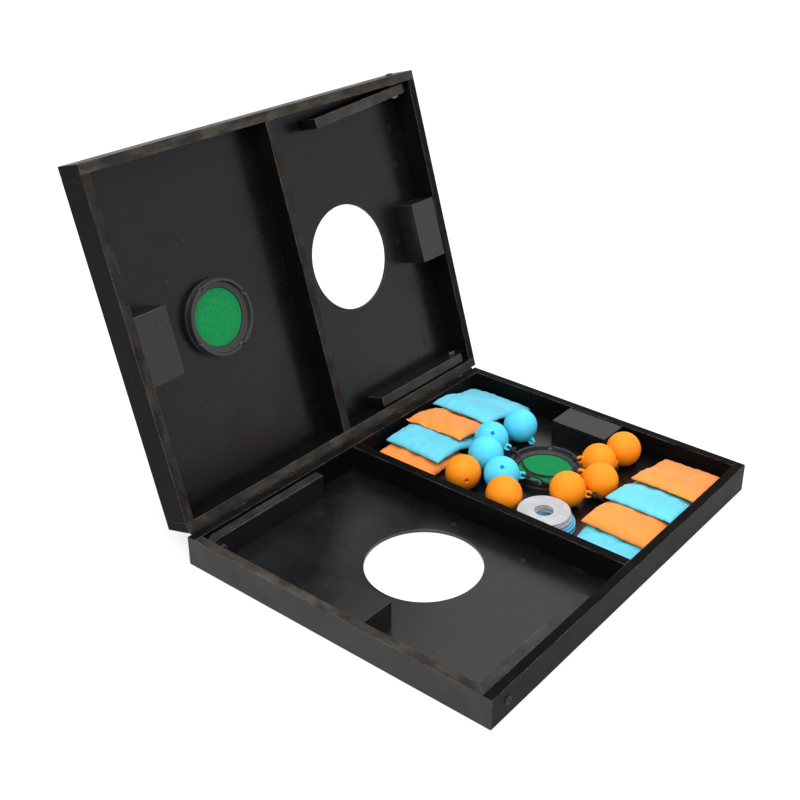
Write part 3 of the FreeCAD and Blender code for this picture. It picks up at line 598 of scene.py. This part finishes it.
for label, (centre, towards, facing, vent) in BALLS.items():
    place = turned_frame(Vector(centre) * MM, towards, facing)
    vent_way = place.to_3x3().inverted() @ Vector(vent).normalized()
    ball = add_mesh(label + "_rubber", build_ball, RUBBERS[label.split("_")[0]])
    tab = add_mesh("tab", build_tab, None)
    modify(ball, "BOOLEAN", operation="UNION", object=tab, solver="EXACT")
    apply_modifiers(ball)
    bpy.data.objects.remove(tab)
    eye = Vector(((BALL_RADIUS + TAB_REACH) * MM - TAB_HALF_WIDTH, 0, 0))
    cut(ball, [cutter("eye", TAB_HOLE, 3 * TAB_THICKNESS, eye, (0, 1, 0)),
               cutter("vent", VENT_RADIUS, 2 * VENT_DEPTH, vent_way * BALL_RADIUS * MM, vent_way)])
    modify(ball, "REMESH", mode="VOXEL", voxel_size=BALL_VOXEL, use_smooth_shade=True)
    modify(ball, "SMOOTH", factor=0.5, iterations=4)
    apply_modifiers(ball)
    ball.matrix_world = place
    settle(ball, "base", "rubber_" + label.split("_")[0], label)


# ---- Cord loops and knots --------------------------------------------------------------------------------

# Middles are distances from the ball's centre along its tab.
LOOP_RADIUS, LOOP_MIDDLE, STRAND_RADIUS = 3.7 * MM, 32.5 * MM, 1.6 * MM
KNOT_MIDDLE, KNOT_SCALE = 37.6 * MM, 1.25 * MM
KNOTTED = ["blue_ball_2", "blue_ball_4", "orange_ball_3", "orange_ball_4", "orange_ball_5", "orange_ball_6"]


def tube(shape, points, radius, sides=10):
    """A closed tube along a ring of points."""
    rings, count = [], len(points)
    for i, point in enumerate(points):
        along = (points[(i + 1) % count] - points[i - 1]).normalized()
        turn = along.to_track_quat("Z", "Y")
        rings.append([shape.verts.new(point + turn @ Vector((radius * math.cos(a), radius * math.sin(a), 0)))
                      for a in np.linspace(0, 2 * math.pi, sides, endpoint=False)])
    for i, ring in enumerate(rings):
        ahead = rings[(i + 1) % count]
        twist = min(range(sides), key=lambda k: (ahead[k].co - ring[0].co).length)
        for k in range(sides):
            n = (k + 1) % sides
            shape.faces.new((ring[k], ring[n], ahead[(n + twist) % sides], ahead[(k + twist) % sides]))


def build_knot(shape):
    """A loop through the tab's eye and a small overhand knot where it meets the cord."""
    turns = np.linspace(0, 2 * math.pi, 64, endpoint=False)
    tube(shape, [Vector((LOOP_MIDDLE + LOOP_RADIUS * math.cos(a), LOOP_RADIUS * math.sin(a), 0))
                 for a in turns[::2]], STRAND_RADIUS)
    tube(shape, [Vector((KNOT_MIDDLE - KNOT_SCALE * 1.1 * math.sin(3 * a),
                         KNOT_SCALE * (math.sin(a) + 2 * math.sin(2 * a)),
                         KNOT_SCALE * (math.cos(a) - 2 * math.cos(2 * a)))) for a in turns], STRAND_RADIUS)


for label in KNOTTED:
    centre, towards, facing, _ = BALLS[label]
    knot = add_mesh(label + "_knot", build_knot, CORD_BLACK,
                    turned_frame(Vector(centre) * MM, towards, facing))
    settle(knot, "base", "cord_black")


# ---- Washers -------------------------------------------------------------------------------------------

WASHER_RADIUS, WASHER_HOLE, WASHER_THICKNESS, WASHER_GAP = 35.5 * MM, 12.8 * MM, 3.05 * MM, 0.02 * MM
STACKS = {
    "blue": (0, [(48, -76.5), (46.8, -75), (48.4, -75.8), (47, -73.6)]),
    "grey": (4, [(44.4, -71.4), (44.9, -72), (43.9, -70.6), (44.2, -70)]),
}
washer_profile = rounded([(WASHER_HOLE, 0), (WASHER_RADIUS, 0), (WASHER_RADIUS, WASHER_THICKNESS),
                          (WASHER_HOLE, WASHER_THICKNESS)], 0.7 * MM, closed=True)
for colour, (first_layer, centres) in STACKS.items():
    def build_stack(shape):
        spin = lathe(washer_profile, 96, closed=True)
        for layer, (x, y) in enumerate(centres, first_layer):
            known = set(shape.verts)
            spin(shape)
            lift = Vector((x * MM, y * MM, PANEL_TOP + layer * (WASHER_THICKNESS + WASHER_GAP)))
            bmesh.ops.translate(shape, verts=[v for v in shape.verts if v not in known], vec=lift)
    stack = add_mesh(f"{colour}_washer_stack", build_stack, WASHER_PLASTICS[colour])
    settle(stack, "base", "washer_" + colour, f"{colour}_washers")


# ---- Cups and felt -------------------------------------------------------------------------------------

CUP_SET_BACK = 3 * MM
CUP_OFFSETS = {"base": 158 * MM, "lid": 142 * MM}
CUP_TURN = math.radians(25)
FELT_RADIUS, FELT_THICKNESS, CUP_FLOOR = 38.6 * MM, 1.6 * MM, 3.2 * MM
CUP_PROFILE = [(0, 0), (51.5, 0), (51.5, 3), (49.6, 3), (49.6, 7.5), (51, 7.5), (51, 14), (47.4, 14),
               (46.4, 7.5), (39, 6.3), (39, 3.2), (0, 3.2)]
cup_profile = rounded([(r * MM, z * MM) for r, z in CUP_PROFILE], 0.5 * MM)
for tray, place in TRAYS.items():
    seat = place @ Matrix.Translation((CUP_OFFSETS[tray], CUP_SET_BACK, PANEL_TOP))
    cup = add_mesh(f"{tray}_moulded_cup", lathe(cup_profile, 128), CUP_BLACK)
    notch_place = Matrix.Translation((49.4 * MM, 0, 14 * MM))
    notches = [add_mesh("notch", block((6 * MM, 5 * MM, 5.2 * MM)), None,
                        Matrix.Rotation(quarter * math.pi / 2, 4, "Z") @ notch_place)
               for quarter in range(4)]
    bpy.context.view_layer.update()
    cut(cup, notches)
    cup.matrix_world = seat @ Matrix.Rotation(CUP_TURN, 4, "Z")
    settle(cup, tray, "cup_black", f"{tray}_cup")

    felt_profile = [(0, CUP_FLOOR), (FELT_RADIUS, CUP_FLOOR), (FELT_RADIUS, CUP_FLOOR + FELT_THICKNESS),
                    (FELT_RADIUS * 0.8, CUP_FLOOR + FELT_THICKNESS), (0, CUP_FLOOR + FELT_THICKNESS)]
    felt = add_mesh(f"{tray}_felt_disc", lathe(rounded(felt_profile, 0.5 * MM), 96), FELT_GREEN)
    felt.matrix_world = seat
    settle(felt, tray, "felt_green", f"{tray}_felt")


# ---- Bean bags -----------------------------------------------------------------------------------------

BAG_FLAT = (112 * MM, 105 * MM)
BAG_STEP = 2.8 * MM  # mesh cells
BAG_SKEW = 3 * MM  # most that a corner is off square
BAG_PRESSURE, BAG_FRAMES = 1.2, 22
BAG_CROWN, BAG_BELLY = 11.5 * MM, 6.5 * MM  # thickness above and below the seam
BAG_FULLNESS = 0.52  # 1 is a low dome, smaller has steeper sides
BAG_SLIDE = 0.3  # how much more filling the low end has, for the bags that lie on another
BAG_STIFFNESS, BAG_BRIDGE = 0.8, 0.75  # how straight the filling keeps a bag, along Y and along X
BAG_GAP = 0.5 * MM
PUCKER, PUCKER_LENGTH = 0.65 * MM, 17 * MM
PUCKER_REACH = 0.12  # where the puckers are deepest, as a part of the way from the seam to the middle
PUCKER_SEED = 100
DRAPE_CELL, DRAPE_REACH, DRAPE_BLUR = 3 * MM, 2, 5  # height grid, cells that lift spreads, smoothing passes
ABOVE_ALL = 0.2  # rays start this far above or below the floor
BAGS = {  # colour, centre and turn; the first of each row lies flat and each next one laps onto it
    "hinge_bag_1": ("orange", (58.6, 164), 0),
    "hinge_bag_2": ("blue", (110.5, 165), 0),
    "hinge_bag_3": ("orange", (163, 168), -1),
    "hinge_bag_4": ("blue", (229, 169), 0),
    "front_bag_1": ("blue", (58.6, -173), 0),
    "front_bag_2": ("orange", (112, -172.5), -1),
    "front_bag_3": ("blue", (165.5, -173), 0),
    "front_bag_4": ("orange", (230.5, -172.5), 1),
}


def flat_bag(seed):
    """Two sheets joined at their border, slightly parted, with a little unevenness for creases to start."""
    def build(shape):
        draw = random.Random(seed)
        width, length = BAG_FLAT
        skew = [[draw.uniform(-BAG_SKEW, BAG_SKEW) for _ in range(2)] for _ in range(4)]
        waves = [(draw.uniform(0, math.pi), draw.uniform(150, 260), draw.uniform(0, 6)) for _ in range(5)]
        columns, rows = round(width / BAG_STEP), round(length / BAG_STEP)
        grid = {}
        for side in (0, 1):
            for i in range(columns + 1):
                for j in range(rows + 1):
                    if side and (i in (0, columns) or j in (0, rows)):
                        grid[side, i, j] = grid[0, i, j]
                        continue
                    across, up = 2 * i / columns - 1, 2 * j / rows - 1
                    crown = 3 * MM * math.sqrt((1 - across ** 2) * (1 - up ** 2))
                    x, y = across * width / 2, up * length / 2
                    folds = sum(math.sin(rate * (x * math.cos(way) + y * math.sin(way)) + start)
                                for way, rate, start in waves)
                    inside = (1 - across ** 2) * (1 - up ** 2)
                    z = (1 - 2 * side) * crown + inside * (0.6 * folds + draw.uniform(-1, 1) * 0.5) * MM
                    shares = [(1 + a * across) * (1 + b * up) / 4 for a in (-1, 1) for b in (-1, 1)]
                    x += sum(share * corner[0] for share, corner in zip(shares, skew))
                    y += sum(share * corner[1] for share, corner in zip(shares, skew))
                    grid[side, i, j] = shape.verts.new((x, y, z))
        for side in (0, 1):
            for i in range(columns):
                for j in range(rows):
                    shape.faces.new([grid[side, i, j], grid[side, i + 1, j], grid[side, i + 1, j + 1],
                                     grid[side, i, j + 1]])
    return build


def inflate(bag):
    """Blow the bag up with Blender's cloth and keep the result."""
    modifier = modify(bag, "CLOTH")
    cloth = modifier.settings
    cloth.use_pressure = True
    cloth.uniform_pressure_force = BAG_PRESSURE
    cloth.effector_weights.gravity = 0
    cloth.bending_stiffness = 0.3
    cloth.quality = 6
    for number in range(1, BAG_FRAMES + 1):
        bpy.context.scene.frame_set(number)
    apply_modifiers(bag)
    bpy.context.scene.frame_set(1)


def plump(bag, slide, seed):
    """Give the bag its thickness above and below the seam, and the puckers that the seam draws in.

    slide is the share by which the filling has slid towards +X.
    """
    draw = random.Random(seed + PUCKER_SEED)
    starts = [draw.uniform(0, 2 * math.pi) for _ in range(2)]
    heights = np.array([v.co.z for v in bag.data.vertices])
    for vertex, height in zip(bag.data.vertices, heights):
        across, up = vertex.co.x / (BAG_FLAT[0] / 2), vertex.co.y / (BAG_FLAT[1] / 2)
        full = 1 + slide * across
        if height > 0:
            vertex.co.z = BAG_CROWN * full * (height / heights.max()) ** BAG_FULLNESS
        else:
            vertex.co.z = -BAG_BELLY * full * (height / heights.min()) ** BAG_FULLNESS
        borders = ((1 - abs(up), vertex.co.x, starts[0]), (1 - abs(across), vertex.co.y, starts[1]))
        for inward, along, start in borders:
            near = max(inward, 0) / PUCKER_REACH
            wander, strength = 2 * math.sin(60 * along), 0.6 + 0.4 * math.sin(90 * along + 2 * start)
            wave = math.sin(2 * math.pi * along / PUCKER_LENGTH + start + wander)
            vertex.co.z += PUCKER * strength * near * math.exp(1 - near) * wave


def bridged(profile):
    """The line that a taut sheet laid over a profile would follow."""
    hull = [0]
    for i in range(1, len(profile)):
        while len(hull) > 1 and ((profile[hull[-1]] - profile[hull[-2]]) * (i - hull[-1])
                                 <= (profile[i] - profile[hull[-1]]) * (hull[-1] - hull[-2])):
            hull.pop()
        hull.append(i)
    return np.interp(range(len(profile)), hull, [profile[i] for i in hull])


def surface_tree(obj):
    """The object's mesh, where it stands, for ray casts."""
    place = obj.matrix_world
    return BVHTree.FromPolygons([place @ v.co for v in obj.data.vertices],
                                [tuple(face.vertices) for face in obj.data.polygons])


def cast(tree, x, y, way, miss):
    """The height where a vertical ray meets the mesh: its top for way -1 and its underside for way 1."""
    hit = tree.ray_cast(Vector((x, y, -way * ABOVE_ALL)), Vector((0, 0, way)))[0]
    return miss if hit is None else hit.z


def drape(bag, below):
    """Lift each column of a bag that lies at Z = 0 clear of the panel and of the bag below it, if any.

    The filling keeps a bag fairly straight both ways. The lift spreads a little past what causes it and is
    smoothed, so that the cloth bridges over edges.
    """
    own, lower = surface_tree(bag), below and surface_tree(below)
    place = bag.matrix_world
    points = np.array([place @ v.co for v in bag.data.vertices])
    low, high = points.min(0) - 2 * DRAPE_CELL, points.max(0) + 2 * DRAPE_CELL
    xs, ys = np.arange(low[0], high[0], DRAPE_CELL), np.arange(low[1], high[1], DRAPE_CELL)
    lift = np.zeros((len(xs), len(ys)))
    for i, x in enumerate(xs):
        for j, y in enumerate(ys):
            ground = PANEL_TOP if lower is None else cast(lower, x, y, -1, PANEL_TOP)
            lift[i, j] = ground + BAG_GAP - cast(own, x, y, 1, 0)
    lift = BAG_STIFFNESS * lift.max(axis=1, keepdims=True) + (1 - BAG_STIFFNESS) * lift
    taut = np.array([bridged(row) for row in lift.T]).T
    lift = BAG_BRIDGE * taut + (1 - BAG_BRIDGE) * lift
    padded = np.pad(lift, DRAPE_REACH, mode="edge")
    span = range(2 * DRAPE_REACH + 1)
    lift = np.max([padded[i:i + len(xs), j:j + len(ys)] for i in span for j in span], axis=0)
    for _ in range(DRAPE_BLUR):
        padded = np.pad(lift, 1, mode="edge")
        lift = sum(padded[i:i + len(xs), j:j + len(ys)] for i in range(3) for j in range(3)) / 9
    across, up = (points[:, 0] - low[0]) / DRAPE_CELL, (points[:, 1] - low[1]) / DRAPE_CELL
    i, j = across.astype(int), up.astype(int)
    u, v = across - i, up - j
    heights = (lift[i, j] * (1 - u) * (1 - v) + lift[i + 1, j] * u * (1 - v) + lift[i, j + 1] * (1 - u) * v
               + lift[i + 1, j + 1] * u * v)
    for vertex, height in zip(bag.data.vertices, heights):
        vertex.co.z += height


below = None
for seed, (label, (colour, centre, turn)) in enumerate(BAGS.items()):
    if label.endswith("_1"):
        below = None
    bag = add_mesh(label + "_cloth", flat_bag(seed), COTTONS[colour])
    inflate(bag)
    plump(bag, BAG_SLIDE if below else 0, seed)
    modify(bag, "SUBSURF", levels=1, render_levels=1)
    apply_modifiers(bag)
    bag.matrix_world = (Matrix.Translation((centre[0] * MM, centre[1] * MM, 0))
                        @ Matrix.Rotation(math.radians(turn), 4, "Z"))
    drape(bag, below)
    below = bag
    for face in bag.data.polygons:
        face.use_smooth = True
    settle(bag, "base", "cloth_" + colour, label)


# ---- Studio --------------------------------------------------------------------------------------------

FLOOR_HALF, FLOOR_DROP = 12, 0.2 * MM
CAMERA_AT = (-1.09638, -0.78204, 0.92615)
CAMERA_RIGHT, CAMERA_UP = Vector((0.60696, -0.79454, 0.01755)), Vector((0.35372, 0.28986, 0.88931))
SENSOR, LENS, SHIFT = 36, 54.615, (-0.075, -0.04)


def add_floor():
    shader = Shader("floor_white")
    material = shader.finish(Base_Color=(0.45, 0.45, 0.45), Roughness=0.9, Emission_Color=(1.0, 1.0, 1.0),
                             Emission_Strength=0.6)
    def build(shape):
        bmesh.ops.create_grid(shape, x_segments=1, y_segments=1, size=FLOOR_HALF)
    floor = add_mesh("floor", build, material, Matrix.Translation((0, 0, -FLOOR_DROP)))


def add_light(name, location, target, size, power):
    data = bpy.data.lights.new(name, "AREA")
    data.size = size
    data.energy = power
    light = bpy.data.objects.new(name, data)
    light.location = location
    light.rotation_euler = (Vector(target) - Vector(location)).to_track_quat("-Z", "Y").to_euler()
    bpy.context.scene.collection.objects.link(light)


def add_world(strength):
    world = bpy.data.worlds.new("studio")
    bpy.context.scene.world = world
    world.use_nodes = True
    background = world.node_tree.nodes["Background"]
    background.inputs["Color"].default_value = (1, 1, 1, 1)
    background.inputs["Strength"].default_value = strength


def add_camera():
    data = bpy.data.cameras.new("camera")
    data.sensor_width, data.lens = SENSOR, LENS
    data.shift_x, data.shift_y = SHIFT
    data.clip_end = 50
    camera = bpy.data.objects.new("camera", data)
    turn = Matrix((CAMERA_RIGHT, CAMERA_UP, CAMERA_RIGHT.cross(CAMERA_UP))).transposed().to_4x4()
    camera.matrix_world = Matrix.Translation(CAMERA_AT) @ turn
    bpy.context.scene.collection.objects.link(camera)
    bpy.context.scene.camera = camera


add_floor()
add_world(0.9)
add_light("key", (-1.4, -0.4, 2.2), (0, 0, 0), 1.6, 26)
add_light("overhead", (0.3, -0.1, 2.2), (0, 0, 0), 1.8, 22)
add_camera()
bpy.context.scene.view_settings.view_transform = "Standard"

bpy.context.view_layer.update()
